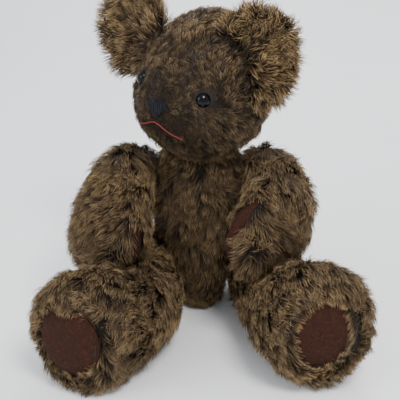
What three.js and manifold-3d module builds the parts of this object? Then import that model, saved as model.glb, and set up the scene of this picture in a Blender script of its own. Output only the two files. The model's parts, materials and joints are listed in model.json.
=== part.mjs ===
// A 16-inch disc-jointed teddy bear, seated. Millimetres, +Z up, the bear faces -Y.
// The origin is the middle of the seat, on the surface that the bear sits on.
import * as THREE from 'three';
import { mergeVertices } from 'three/addons/utils/BufferGeometryUtils.js';
import Module from 'manifold-3d';

const wasm = await Module();
wasm.setup();

// ---------------------------------------------------------------- driving dimensions
const SKIN = 2.2; // backing and the dense root of the pile
const GAP = 0.3; // clearance between pieces that touch
const SEAM = 0.4; // between the panels of a limb
const STANDOFF = 0.6; // a limb's clearance from its joint's plane
const FILLING_GAP = 1.8; // between a limb's or the head's skin and its stuffing
const SIDES = { left: 1, right: -1 }; // the bear's own left is +X

const AROUND = 16; // facets around a limb
const DISC_FACETS = 16;
const POST_FACETS = 12;
const TORSO_COLUMNS = 16;
// The torso's four panels, and the degrees about +Z that each starts from
const TORSO_QUARTERS = [
  ['front', 'left', -90],
  ['back', 'left', 0],
  ['back', 'right', 90],
  ['front', 'right', 180],
];

// Torso outline: [height, half width, half depth, centre Y]
const TORSO_ROWS = [
  [0, 11, 20, -2],
  [6, 17, 29, -2],
  [20, 22, 36, -3],
  [38, 26.5, 40, -4],
  [66, 33, 43, -5],
  [92, 41, 41, -4],
  [116, 42.5, 36, 0],
  [134, 37, 30, 1],
  [145, 28, 23, 1],
  [150, 19, 17, 1],
];

// Arm outline: [distance down the arm, half width in its plane, half thickness, offset]
const ARM_ROWS = [
  [-24, 10, 8, 0],
  [-20, 18, 14, 0],
  [-9, 25, 20, 0],
  [10, 28, 24, 0],
  [35, 29.5, 26, 0],
  [60, 32, 28, 0],
  [82, 33, 28.5, 0],
  [98, 30, 26.5, 0],
  [109, 23, 20.5, 0],
  [115, 12, 11, 0],
];
const ARM_TOP = -25.5;
const ARM_TIP = 116;
const ARM_BEND_START = 20;
// Each arm's curve in its own plane: the left one forwards, the right one downwards
const ARM_BEND_RADIUS = { left: 260, right: -125 };
const ARM_TWIST = { left: 12, right: -45 }; // degrees that the pad is turned, forwards above zero
// How far the middle of each arm leaves its joint's plane, down its length
const ARM_SWAY = {
  left: [[0, 0], [35, 3], [75, -3], [116, -24]],
  right: [[0, 0], [35, -1], [75, -5], [116, -10]],
};
const PAD_START_ROW = 7; // the row of the arm where the felt pad begins

// Leg outline, in the same form; the offset lifts the toes
const LEG_ROWS = [
  [-30, 9, 7, 0],
  [-26, 19, 14, 0],
  [-14, 27, 21, 0],
  [6, 31, 25.5, 0],
  [38, 29, 29, -2],
  [70, 28, 31, -3],
  [100, 32, 34, 1],
  [128, 41, 38, 9],
  [148, 46, 41, 14],
  [163, 44.5, 39.5, 14],
  [171, 38, 33, 14],
];
const LEG_TOP = -31.5;
const STRAIGHT = 1000; // a bend's radius that nothing reaches
const SOLE_PLANE = 173; // distance of the sole's edge from the hip
const SOLE_HALF_LENGTH = 30.5;
const SOLE_HALF_WIDTH = 24.5;
const SOLE_DOME = 2.5;
const SOLE_THICKNESS = 1.6;
const SOLE_OPENING = 12; // how far the opening for the sole is cut through the skin
const SOLE_RINGS = 3;
const SOLE_COLUMNS = 20;
const LEG_TWIST = { left: 0, right: -8 }; // degrees that the toes lean, outwards below zero
// How far the middle of each leg leaves its joint's plane, down its length
const LEG_SWAY = {
  left: [[0, 0], [60, 0], [110, 0], [173, 3]],
  right: [[0, 0], [18, 0], [52, -12], [90, -14], [130, -5], [173, 20]],
};

// Joints: where each disc meets the torso, which way its axis leaves the torso,
// and which way the limb runs at rest
const JOINTS = {
  left_arm: { at: [43.2, 1, 116], out: [0.95, -0.15, 0.2], along: [0.05, -0.93, -0.295] },
  right_arm: { at: [-43.2, 1, 116], out: [-0.97, 0.08, 0.2], along: [-0.18, -0.96, -0.09] },
  left_leg: { at: [29, -5, 38], out: [0.983, 0.11, -0.14], along: [0.11, -0.99, 0.045] },
  right_leg: { at: [-29, -5, 38], out: [-0.985, 0.05, -0.165], along: [-0.05, -0.998, 0.03] },
  neck: { at: [4, -1, 150.6], out: [0, 0, 1], along: [1, 0, 0] },
};
// Each joint's disc, and how far in from the joint's plane its disc and its washer lie
const DISCS = {
  arm: { radius: 13, limbFace: 7.4, bodyFace: 9.9 },
  leg: { radius: 16, limbFace: 8.6, bodyFace: 10.4 },
  neck: { radius: 14, limbFace: 10.8, bodyFace: 5.4 },
};
const DISC_THICKNESS = 2;
const POST_RADIUS = 3;
const POST_BORE_RADIUS = 3.1;
const POST_CLEARANCE_RADIUS = 3.8;
const LOCK_RADIUS = 6.5;
const LOCK_THICKNESS = 1.6;
const LOCK_FACETS = 10;
const POST_END = 1; // how far a post passes its lock washer
const POCKET_MARGIN = 1; // room around a disc in the stuffing
const POST_REACH = 8; // how far the room for a post runs past its washer
const MOUTH_OF_POCKET = 6; // how far a pocket opens beyond the joint's plane

// Head: an ovoid with a broad muzzle and full cheeks, about its own centre
const HEAD_CENTRE = [9, -6, 212];
const HEAD_TURN = -35; // degrees about +Z: the bear looks to its own right
const HEAD_TILT = 9; // degrees: its left ear is the lower one
const HEAD_HALF = { across: 55, deep: 51, high: 60 };
const MUZZLE = { direction: [0, -1, -0.2], height: 23, spread: 30 };
const CHEEK = { direction: [0.62, -0.6, -0.52], height: 6, spread: 26 };
const GUSSET_HALF_ANGLE = 24; // degrees either side of the middle of the head
// The strips share the side panels' stations, so that their edges run side by side
const HEAD_SIDE_STEPS = 28;
const HEAD_SIDE_RINGS = 5;
const GUSSET_STEPS = 18;
const CHIN_STEPS = 6;
const STRIP_COLUMNS = 4;
const STRIP_TIP = 0.4; // degrees either side of the middle where a strip runs out
// Degrees around the middle of the head, from 0 at the nose over the crown
const MOUTH_AROUND = -17;
const NAPE_AROUND = 205;
const THROAT_AROUND = -75;

// Eyes: 12 mm safety eyes, placed by their direction from the head's centre
const EYE_RADIUS = 6;
const EYE_HEIGHT = 4.2;
const EYE_STEM_RADIUS = 2;
const EYE_STEM_LENGTH = 11;
const EYE_DIRECTION = [0.485, -0.86, 0.08];
const EYE_WASHER_RADIUS = 7.5;
const EYE_WASHER_DEPTH = [-6, -4.8]; // where the washer grips the stem, below the skin
const EYE_POCKET_DEPTH = [-6.5, 4];
const EYE_FACETS = 12;

// Nose: an embroidered triangle at the tip of the muzzle
const NOSE_DIRECTION = [0, -1, -0.1];
const NOSE_HALF_WIDTH = 8.5;
const NOSE_TOP = 6.5;
const NOSE_POINT = 7.5;
const NOSE_THICKNESS = 2.2;
const NOSE_BLOCK = 9; // depth of the block that the nose is cut from

// Mouth: one thread over the muzzle, as [degrees aside, degrees around] from corner to corner
const SMILE = [[-18, -26], [-10, -21], [0, -15], [10, -21], [18, -26]];
const THREAD_RADIUS = 0.9;
const THREAD_CLEARANCE = 0.7;

// Ears: large cupped ovals
const EAR_HALF = { across: 34, high: 40, deep: 7 };
const EAR_CUP = 9; // how far the rim curls forward
const EAR_FRONT_DEPTH = 0.8; // the front layer's bulge, as a share of the back layer's
const EARS = {
  left: { at: [53, -11, 41], turn: 4, lean: 0 },
  right: { at: [-76, -8, 26], turn: -5, lean: 13 },
};

// ---------------------------------------------------------------- materials
const coloured = (color, roughness, metalness = 0) => (
  () => new THREE.MeshStandardMaterial({ color, roughness, metalness })
);
const plush = coloured(0x6b5639, 0.95);
const felt = coloured(0x4b2d26, 1);
const filling = coloured(0xe8e4da, 1);
const plastic = coloured(0xd9d5c8, 0.5);
const steel = coloured(0x9a9a98, 0.35, 1);
const gloss = coloured(0x0b0a0a, 0.08);
const darkThread = coloured(0x2a2f38, 0.8);
const redThread = coloured(0x96323a, 0.8);

// ---------------------------------------------------------------- solids
const radians = THREE.MathUtils.degToRad;
const unit = (array) => new THREE.Vector3(...array).normalize();

// A closed geometry as a manifold solid, with its faces turned outwards.
function solidOf(geometry) {
  const bare = geometry.index ? geometry.clone() : geometry;
  bare.deleteAttribute('normal');
  bare.deleteAttribute('uv');
  const merged = mergeVertices(bare, 1e-4);
  const points = merged.getAttribute('position');
  const index = merged.getIndex().array;
  const kept = [];
  let volume = 0;
  const [a, b, c] = [new THREE.Vector3(), new THREE.Vector3(), new THREE.Vector3()];
  for (let i = 0; i < index.length; i += 3) {
    const [p, q, r] = [index[i], index[i + 1], index[i + 2]];
    if (p === q || q === r || r === p) continue;
    kept.push(p, q, r);
    a.fromBufferAttribute(points, p);
    b.fromBufferAttribute(points, q);
    c.fromBufferAttribute(points, r);
    volume += a.dot(b.cross(c));
  }
  if (volume < 0) kept.reverse();
  return new wasm.Manifold(new wasm.Mesh({
    numProp: 3,
    vertProperties: new Float32Array(points.array),
    triVerts: new Uint32Array(kept),
  }));
}

function geometryOf(solid) {
  const mesh = solid.getMesh();
  const geometry = new THREE.BufferGeometry();
  geometry.setAttribute('position', new THREE.BufferAttribute(mesh.vertProperties.slice(), 3));
  geometry.setIndex(new THREE.BufferAttribute(mesh.triVerts.slice(), 1));
  geometry.computeVertexNormals();
  return geometry;
}

// The closed skin of a patch of a surface: at(row, column, depth) gives a point of it.
// A ring patch joins its last column to its first.
function shellOf(at, rows, columns, depth, ring = false) {
  const count = ring ? columns : columns + 1;
  const positions = [];
  const index = [];
  for (const level of [0, depth]) {
    for (let i = 0; i <= rows; i += 1) {
      for (let j = 0; j < count; j += 1) positions.push(...at(i, j, level).toArray());
    }
  }
  const inner = (rows + 1) * count;
  const id = (i, j) => i * count + (j % count);
  const quad = (p, q, r, s) => index.push(p, q, r, p, r, s);
  for (let i = 0; i < rows; i += 1) {
    for (let j = 0; j < columns; j += 1) {
      const [p, q, r, s] = [id(i, j), id(i, j + 1), id(i + 1, j + 1), id(i + 1, j)];
      quad(p, q, r, s);
      quad(inner + p, inner + s, inner + r, inner + q);
    }
  }
  for (let j = 0; j < columns; j += 1) {
    quad(id(0, j + 1), id(0, j), inner + id(0, j), inner + id(0, j + 1));
    quad(id(rows, j), id(rows, j + 1), inner + id(rows, j + 1), inner + id(rows, j));
  }
  if (!ring) {
    for (let i = 0; i < rows; i += 1) {
      quad(id(i, 0), id(i + 1, 0), inner + id(i + 1, 0), inner + id(i, 0));
      quad(id(i + 1, columns), id(i, columns), inner + id(i, columns), inner + id(i + 1, columns));
    }
  }
  return solidOf(meshOf(positions, index));
}

// The whole inside of a surface that closes at its first and last rows.
function bodyOf(at, rows, columns, depth) {
  const positions = [];
  const index = [];
  for (let i = 0; i <= rows; i += 1) {
    for (let j = 0; j < columns; j += 1) positions.push(...at(i, j, depth).toArray());
  }
  const id = (i, j) => i * columns + (j % columns);
  for (let i = 0; i < rows; i += 1) {
    for (let j = 0; j < columns; j += 1) {
      index.push(id(i, j), id(i, j + 1), id(i + 1, j + 1));
      index.push(id(i, j), id(i + 1, j + 1), id(i + 1, j));
    }
  }
  return solidOf(meshOf(positions, index));
}

function meshOf(positions, index) {
  const geometry = new THREE.BufferGeometry();
  geometry.setAttribute('position', new THREE.Float32BufferAttribute(positions, 3));
  geometry.setIndex(index);
  return geometry;
}

// A cylinder along local +X, from one distance to another.
function rod(radius, from, to, facets = DISC_FACETS) {
  const geometry = new THREE.CylinderGeometry(radius, radius, to - from, facets);
  geometry.rotateZ(-Math.PI / 2);
  geometry.translate((from + to) / 2, 0, 0);
  return solidOf(geometry);
}

function named(name, solid, material) {
  const mesh = new THREE.Mesh(geometryOf(solid), material);
  mesh.name = name;
  return mesh;
}

// The frame of a joint: local +X leaves the torso (turned to +X on the right side),
// local -Z runs down the limb, and local -Y is the side that the limb bends towards.
function jointFrame(joint, side = 1) {
  const x = unit(joint.out).multiplyScalar(side);
  const z = unit(joint.along).negate();
  z.addScaledVector(x, -z.dot(x)).normalize();
  const y = new THREE.Vector3().crossVectors(z, x);
  const group = new THREE.Group();
  group.matrixAutoUpdate = false;
  group.matrix.makeBasis(x, y, z).setPosition(...joint.at);
  group.matrixWorldNeedsUpdate = true;
  return group;
}

const bear = new THREE.Group();
bear.name = 'jointed_teddy_bear';

// ---------------------------------------------------------------- joint hardware
// On the right side a piece made along +X is turned about, to leave the torso along -X.
const facing = (solid, side) => (side < 0 ? solid.rotate([0, 0, 180]) : solid);

function addDiscJoint(frame, prefix, { radius, limbFace, bodyFace }, side) {
  const lockFace = bodyFace + DISC_THICKNESS + GAP;
  const postEnd = lockFace + LOCK_THICKNESS + POST_END;
  const post = rod(POST_RADIUS, -postEnd, limbFace + DISC_THICKNESS / 2, POST_FACETS);
  const bore = rod(POST_BORE_RADIUS, -postEnd, 0, POST_FACETS);
  const disc = rod(radius, limbFace, limbFace + DISC_THICKNESS).add(post);
  const washer = rod(radius - 1, -bodyFace - DISC_THICKNESS, -bodyFace).subtract(bore);
  const lock = rod(LOCK_RADIUS, -lockFace - LOCK_THICKNESS, -lockFace, LOCK_FACETS).subtract(bore);
  frame.add(named(`${prefix}_disc`, facing(disc, side), plastic()));
  frame.add(named(`${prefix}_washer`, facing(washer, side), plastic()));
  frame.add(named(`${prefix}_lock`, facing(lock, side), steel()));
}

// Room for a joint's post through both skins, and for its disc and washer in the filling.
function postRoom({ limbFace, bodyFace }) {
  const from = -bodyFace - POST_REACH;
  return rod(POST_CLEARANCE_RADIUS, from, limbFace + DISC_THICKNESS + POST_END, POST_FACETS);
}

function limbPocket({ radius, limbFace }) {
  return rod(radius + POCKET_MARGIN, -SKIN, limbFace + DISC_THICKNESS + GAP);
}

function torsoPocket({ radius, bodyFace }) {
  const washerFace = -bodyFace - DISC_THICKNESS - GAP;
  const lockEnd = washerFace - LOCK_THICKNESS - 2 * POST_END;
  return rod(radius + POCKET_MARGIN, washerFace - GAP, MOUTH_OF_POCKET)
    .add(rod(LOCK_RADIUS + 2 * GAP, lockEnd, 0, LOCK_FACETS));
}

// ---------------------------------------------------------------- limbs
// A limb is an oval section swept down its centre line. Its inner side is straight,
// so that the limb turns on its disc clear of the torso.
function limbSurface({ rows, start, end, bendStart, bendRadius, twist, twistStart, sway }, side) {
  const all = [[start, 0, 0, rows[0][3]], ...rows, [end, 0, 0, rows.at(-1)[3]]];
  const widest = Math.max(...rows.map((row) => row[1]));
  const thickest = Math.max(...rows.map((row) => row[2]));
  const widestRow = all.findIndex((row) => row[2] === thickest);
  const middle = (start + end) / 2;
  const route = new THREE.SplineCurve(sway.map(([down, aside]) => new THREE.Vector2(down, aside)));
  const swayAt = (s) => {
    const place = route.getPoint(fractionAt(sway, s));
    const heading = route.getTangent(fractionAt(sway, s));
    return { aside: place.y, yaw: s > 0 ? Math.atan2(heading.y, heading.x) : 0 };
  };
  return {
    last: all.length - 1,
    at(row, angle, depth) {
      const [down, half, thick, offset] = all[row];
      const shrink = 1 - depth / widest;
      const s = middle + (down - middle) * (1 - (2 * depth) / (end - start));
      const bend = Math.max(0, s - bendStart) / bendRadius;
      const turn = radians(twist) * Math.min(1, Math.max(0, (s - twistStart) / (end - twistStart)));
      const w = half * shrink;
      const t = thick * (1 - depth / thickest);
      const across = t * Math.cos(angle);
      const forward = w * Math.sin(angle);
      const { aside, yaw } = swayAt(Math.max(0, s));
      const x = across * Math.cos(turn) + forward * Math.sin(turn);
      const y = forward * Math.cos(turn) - across * Math.sin(turn) + offset;
      const ahead = s - x * Math.sin(yaw);
      const reach = bendRadius * (1 - Math.cos(bend)) + y * Math.cos(bend);
      const fall = Math.min(ahead, bendStart) + bendRadius * Math.sin(bend) - y * Math.sin(bend);
      const stand = row > widestRow ? thickest : all[Math.max(1, row)][2];
      const centre = stand + STANDOFF + aside;
      return new THREE.Vector3(side * (centre + x * Math.cos(yaw)), -reach, -fall);
    },
  };
}

// Where along a list of stations a distance lies, from 0 to 1.
function fractionAt(stations, s) {
  const last = stations.length - 1;
  for (let i = 0; i < last; i += 1) {
    const [from, to] = [stations[i][0], stations[i + 1][0]];
    if (s <= to) return (i + (s - from) / (to - from)) / last;
  }
  return 1;
}

const ARM_SHAPE = {
  rows: ARM_ROWS,
  start: ARM_TOP,
  end: ARM_TIP,
  bendStart: ARM_BEND_START,
  twistStart: ARM_BEND_START,
};
const LEG_SHAPE = {
  rows: LEG_ROWS,
  start: LEG_TOP,
  end: SOLE_PLANE,
  bendStart: SOLE_PLANE,
  bendRadius: STRAIGHT,
  twistStart: LEG_SWAY.left[1][0],
};

// The half of a limb's skin on one side of its seams, between two rows.
function limbPanel(surface, fromRow, toRow, outer) {
  const start = outer ? -Math.PI / 2 : Math.PI / 2;
  const columns = AROUND / 2;
  const apart = (row) => {
    const near = Math.min(surface.last - 1, Math.max(1, row));
    const across = surface.at(near, 0, 0).sub(surface.at(near, Math.PI, 0));
    return across.setLength(outer ? SEAM / 2 : -SEAM / 2);
  };
  const at = (i, j, depth) => surface
    .at(fromRow + i, start + (j / columns) * Math.PI, depth)
    .add(apart(fromRow + i));
  return shellOf(at, toRow - fromRow, columns, SKIN);
}

function limbFilling(surface, disc, side) {
  const at = (i, j, depth) => surface.at(i, (j / AROUND) * 2 * Math.PI, depth);
  return bodyOf(at, surface.last, AROUND, SKIN + FILLING_GAP).subtract(facing(limbPocket(disc), side));
}

function addArm(name) {
  const side = SIDES[name];
  const frame = jointFrame(JOINTS[`${name}_arm`], side);
  const curve = { bendRadius: ARM_BEND_RADIUS[name], twist: ARM_TWIST[name], sway: ARM_SWAY[name] };
  const surface = limbSurface({ ...ARM_SHAPE, ...curve }, side);
  const down = surface.at(PAD_START_ROW, 0, 0).sub(surface.at(PAD_START_ROW - 1, 0, 0));
  const seam = down.normalize().multiplyScalar(GAP / 2);
  const outer = limbPanel(surface, 0, surface.last, true);
  const inner = limbPanel(surface, 0, PAD_START_ROW, false)
    .subtract(facing(postRoom(DISCS.arm), side))
    .translate(seam.clone().negate().toArray());
  const pad = limbPanel(surface, PAD_START_ROW, surface.last, false)
    .translate(seam.toArray());
  frame.add(named(`arm_${name}_outer`, outer, plush()));
  frame.add(named(`arm_${name}_inner`, inner, plush()));
  frame.add(named(`paw_pad_${name}`, pad, felt()));
  frame.add(named(`arm_${name}_stuffing`, limbFilling(surface, DISCS.arm, side), filling()));
  addDiscJoint(frame, `shoulder_${name}`, DISCS.arm, side);
  bear.add(frame);
}

function addLeg(name) {
  const side = SIDES[name];
  const frame = jointFrame(JOINTS[`${name}_leg`], side);
  const surface = limbSurface({ ...LEG_SHAPE, twist: LEG_TWIST[name], sway: LEG_SWAY[name] }, side);
  const opening = soleBlank(surface, GAP, SOLE_OPENING, SOLE_OPENING);
  const outer = limbPanel(surface, 0, surface.last, true).subtract(opening);
  const inner = limbPanel(surface, 0, surface.last, false)
    .subtract(opening)
    .subtract(facing(postRoom(DISCS.leg), side));
  frame.add(named(`leg_${name}_outer`, outer, plush()));
  frame.add(named(`leg_${name}_inner`, inner, plush()));
  frame.add(named(`sole_${name}`, soleBlank(surface, 0, SOLE_DOME, SOLE_THICKNESS), felt()));
  frame.add(named(`leg_${name}_stuffing`, limbFilling(surface, DISCS.leg, side), filling()));
  addDiscJoint(frame, `hip_${name}`, DISCS.leg, side);
  bear.add(frame);
}

// The oval that closes the foot: a low dome on the sole's plane, grown by a margin.
function soleBlank(surface, margin, dome, back) {
  const row = surface.last - 1;
  const centre = surface.at(surface.last, 0, 0);
  const aside = surface.at(row, 0, 0).sub(surface.at(row, Math.PI, 0)).normalize();
  const up = surface.at(row, Math.PI / 2, 0).sub(surface.at(row, -Math.PI / 2, 0)).normalize();
  const out = new THREE.Vector3().crossVectors(aside, up);
  if (out.z > 0) out.negate();
  const place = (radius, height, j) => {
    const angle = (j / SOLE_COLUMNS) * 2 * Math.PI;
    return centre.clone()
      .addScaledVector(aside, radius * (SOLE_HALF_WIDTH + margin) * Math.cos(angle))
      .addScaledVector(up, radius * (SOLE_HALF_LENGTH + margin) * Math.sin(angle))
      .addScaledVector(out, height);
  };
  const at = (i, j) => {
    if (i > SOLE_RINGS) return place(i === SOLE_RINGS + 1 ? 1 : 0, -back, j);
    const angle = ((i / SOLE_RINGS) * Math.PI) / 2;
    return place(Math.sin(angle), dome * Math.cos(angle), j);
  };
  return bodyOf(at, SOLE_RINGS + 2, SOLE_COLUMNS, 0);
}

// ---------------------------------------------------------------- torso
function torsoSurface() {
  const first = TORSO_ROWS[0];
  const last = TORSO_ROWS.at(-1);
  const all = [[first[0], 0, 0, first[3]], ...TORSO_ROWS, [last[0], 0, 0, last[3]]];
  const widest = Math.max(...TORSO_ROWS.map((row) => row[1]));
  const middle = last[0] / 2;
  return {
    last: all.length - 1,
    at(row, angle, depth) {
      const [height, across, deep, centreY] = all[row];
      const shrink = 1 - depth / widest;
      const z = middle + (height - middle) * (1 - depth / middle);
      const x = across * shrink * Math.cos(angle);
      return new THREE.Vector3(x, centreY + deep * shrink * Math.sin(angle), z);
    },
  };
}

function addTorso() {
  const surface = torsoSurface();
  const columns = TORSO_COLUMNS / 4;
  const rooms = [];
  const pockets = [];
  for (const [name, joint] of Object.entries(JOINTS)) {
    const side = name.startsWith('right') ? -1 : 1;
    const disc = DISCS[name.split('_').at(-1)];
    const matrix = jointFrame(joint, side).matrix.toArray();
    rooms.push(facing(postRoom(disc), side).transform(matrix));
    pockets.push(facing(torsoPocket(disc), side).transform(matrix));
  }
  for (const [end, hand, from] of TORSO_QUARTERS) {
    const middle = radians(from + 45);
    const apart = new THREE.Vector3(Math.cos(middle), Math.sin(middle), 0).multiplyScalar(GAP / Math.SQRT2);
    const at = (i, j, depth) => surface.at(i, radians(from + (90 * j) / columns), depth).add(apart);
    let panel = shellOf(at, surface.last, columns, SKIN);
    for (const room of rooms) panel = panel.subtract(room);
    bear.add(named(`body_${end}_${hand}`, panel, plush()));
  }
  const whole = (i, j, depth) => surface.at(i, (j / TORSO_COLUMNS) * 2 * Math.PI, depth);
  let inside = bodyOf(whole, surface.last, TORSO_COLUMNS, SKIN + GAP);
  for (const pocket of pockets) inside = inside.subtract(pocket);
  bear.add(named('torso_stuffing', inside, filling()));
}

// ---------------------------------------------------------------- head
// A point of the head's surface in a direction from its centre, in the head's own frame.
function headPoint(direction, depth = 0) {
  const d = direction.clone().normalize();
  const { across, deep, high } = HEAD_HALF;
  const ovoid = 1 / Math.hypot(d.x / across, d.y / deep, d.z / high);
  const swell = ({ direction: to, height, spread }, mirror = 1) => {
    const towards = unit([to[0] * mirror, to[1], to[2]]);
    return height * Math.exp(-0.5 * (d.angleTo(towards) / radians(spread)) ** 2);
  };
  const radius = ovoid + swell(MUZZLE) + swell(CHEEK) + swell(CHEEK, -1);
  return d.multiplyScalar(radius - depth);
}

// Which way the head's surface faces there.
function headNormal(direction) {
  const step = 0.02;
  const point = headPoint(direction);
  const across = new THREE.Vector3(0, 0, 1).cross(direction).normalize();
  const up = direction.clone().cross(across).normalize();
  const aside = headPoint(direction.clone().addScaledVector(across, step)).sub(point);
  const above = headPoint(direction.clone().addScaledVector(up, step)).sub(point);
  return aside.cross(above).normalize();
}

// A direction by its angle around the sagittal plane, 0 at the nose and 90 at the crown,
// and its angle away from that plane.
function headDirection(around, aside) {
  const [mu, lambda] = [radians(around), radians(aside)];
  return new THREE.Vector3(
    Math.sin(lambda),
    -Math.cos(mu) * Math.cos(lambda),
    Math.sin(mu) * Math.cos(lambda),
  );
}

// How far from the middle of the head the side panel's edge is, around the head.
function sideEdge(around) {
  const place = around > NAPE_AROUND ? around - 360 : around;
  if (place <= THROAT_AROUND) return 0;
  const along = (place - THROAT_AROUND) / (NAPE_AROUND - THROAT_AROUND);
  return GUSSET_HALF_ANGLE * Math.sin(Math.PI * Math.min(1, along)) ** 0.4;
}

// Half of a seam between the head's panels, in degrees about its centre
const seamGap = THREE.MathUtils.radToDeg(GAP / 2 / HEAD_HALF.across);

function headSide(mirror) {
  const [steps, rings] = [HEAD_SIDE_STEPS, HEAD_SIDE_RINGS];
  const at = (i, j, depth) => {
    const around = MOUTH_AROUND + (360 * j) / steps;
    const edge = sideEdge(around) + seamGap;
    const aside = edge + (90 - edge) * (i / rings);
    return headPoint(headDirection(around, mirror * aside), depth);
  };
  return shellOf(at, rings, steps, SKIN, true);
}

// A strip along the middle of the head, between the side panels.
function headStrip(from, to, steps) {
  const inset = 6 * seamGap;
  const at = (i, j, depth) => {
    const around = from + inset + ((to - from - 2 * inset) * i) / steps;
    const edge = Math.max(STRIP_TIP, sideEdge(around) - seamGap);
    return headPoint(headDirection(around, edge * (-1 + (2 * j) / STRIP_COLUMNS)), depth);
  };
  return shellOf(at, steps, STRIP_COLUMNS, SKIN);
}

// The whole head inside its surface, or outside it where the depth is below zero.
function headBody(depth, rings = 12, columns = 20) {
  const at = (i, j) => headPoint(headDirection((360 * j) / columns, -90 + (180 * i) / rings), depth);
  return bodyOf(at, rings, columns, 0);
}

// Local +X outwards through the head's skin at an eye, in the head's own frame.
function eyeFrame(mirror) {
  const direction = unit([EYE_DIRECTION[0] * mirror, EYE_DIRECTION[1], EYE_DIRECTION[2]]);
  const point = headPoint(direction);
  const group = new THREE.Group();
  group.quaternion.setFromUnitVectors(new THREE.Vector3(1, 0, 0), headNormal(direction));
  group.position.copy(point);
  group.updateMatrix();
  return group;
}

function eyeSolid() {
  const steps = 5;
  const outline = [
    new THREE.Vector2(0, -EYE_STEM_LENGTH),
    new THREE.Vector2(EYE_STEM_RADIUS, -EYE_STEM_LENGTH),
    new THREE.Vector2(EYE_STEM_RADIUS, GAP),
  ];
  for (let i = 0; i <= steps; i += 1) {
    const angle = (i / steps) * (Math.PI / 2);
    outline.push(new THREE.Vector2(EYE_RADIUS * Math.cos(angle), GAP + EYE_HEIGHT * Math.sin(angle)));
  }
  outline[outline.length - 1].x = 0;
  const geometry = new THREE.LatheGeometry(outline, EYE_FACETS);
  geometry.rotateZ(-Math.PI / 2);
  return solidOf(geometry);
}

// Room for an eye's stem, from outside the skin to past its end.
const stemRoom = () => rod(EYE_STEM_RADIUS + GAP, -EYE_STEM_LENGTH - 1, SKIN, EYE_FACETS);

function addEye(place, name) {
  const bore = rod(EYE_STEM_RADIUS + GAP / 3, -EYE_STEM_LENGTH, 0, EYE_FACETS);
  const washer = rod(EYE_WASHER_RADIUS, ...EYE_WASHER_DEPTH).subtract(bore);
  place.add(named(`eye_${name}`, eyeSolid(), gloss()));
  place.add(named(`eye_washer_${name}`, washer, plastic()));
}

// A flat rounded triangle, point down, laid on the tip of the muzzle.
function noseSolid(envelope) {
  const [half, top, point] = [NOSE_HALF_WIDTH, NOSE_TOP, NOSE_POINT];
  const shape = new THREE.Shape();
  shape.moveTo(0, -point);
  shape.quadraticCurveTo(half * 0.3, -point, half * 0.85, 0);
  shape.quadraticCurveTo(half * 1.15, top, half * 0.5, top);
  shape.lineTo(-half * 0.5, top);
  shape.quadraticCurveTo(-half * 1.15, top, -half * 0.85, 0);
  shape.quadraticCurveTo(-half * 0.3, -point, 0, -point);
  const depth = NOSE_BLOCK;
  const geometry = new THREE.ExtrudeGeometry(shape, { depth, bevelEnabled: false, curveSegments: 4 });
  geometry.rotateX(Math.PI / 2);
  const tip = headPoint(unit(NOSE_DIRECTION));
  geometry.translate(0, tip.y - NOSE_THICKNESS + depth, tip.z);
  return solidOf(geometry).subtract(envelope);
}

// The thread of the smile, clear of the muzzle.
function mouthSolid() {
  const height = THREAD_RADIUS + THREAD_CLEARANCE;
  const points = SMILE.map(([aside, around]) => headPoint(headDirection(around, aside), -height));
  const route = new THREE.CatmullRomCurve3(points);
  const section = new THREE.Shape();
  section.absarc(0, 0, THREAD_RADIUS, 0, 2 * Math.PI);
  const geometry = new THREE.ExtrudeGeometry(section, { steps: 14, extrudePath: route, curveSegments: 3 });
  return solidOf(geometry);
}

// ---------------------------------------------------------------- ears
// An ear is two cupped ovals, sewn at the rim and open towards the head.
function earLayer(front) {
  const { across, high, deep } = EAR_HALF;
  const rings = 4;
  const columns = 16;
  const towards = front ? -1 : 1;
  const at = (i, j, depth) => {
    const angle = (j / columns) * 2 * Math.PI;
    const r = i / rings;
    const [x, z] = [r * Math.cos(angle), r * Math.sin(angle)];
    const thick = (deep - depth) * Math.sqrt(Math.max(0, 1 - r * r)) + GAP;
    const trim = 1 - depth / across;
    const level = front ? EAR_FRONT_DEPTH : 1;
    return new THREE.Vector3(
      x * across * trim,
      towards * thick * level - EAR_CUP * r * r,
      z * high * trim,
    );
  };
  return shellOf(at, rings, columns, SKIN, true);
}

function earFrame(name) {
  const { at, turn, lean } = EARS[name];
  const group = new THREE.Group();
  group.position.set(...at);
  group.rotation.set(0, radians(lean), radians(turn), 'ZYX');
  group.updateMatrix();
  return group;
}

function addEar(head, name, envelope) {
  const ear = earFrame(name);
  const toEar = ear.matrix.clone().invert();
  const room = envelope.transform(toEar.toArray());
  ear.add(named(`ear_${name}_front`, earLayer(true).subtract(room), plush()));
  ear.add(named(`ear_${name}_back`, earLayer(false).subtract(room), plush()));
  head.add(ear);
}

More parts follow.
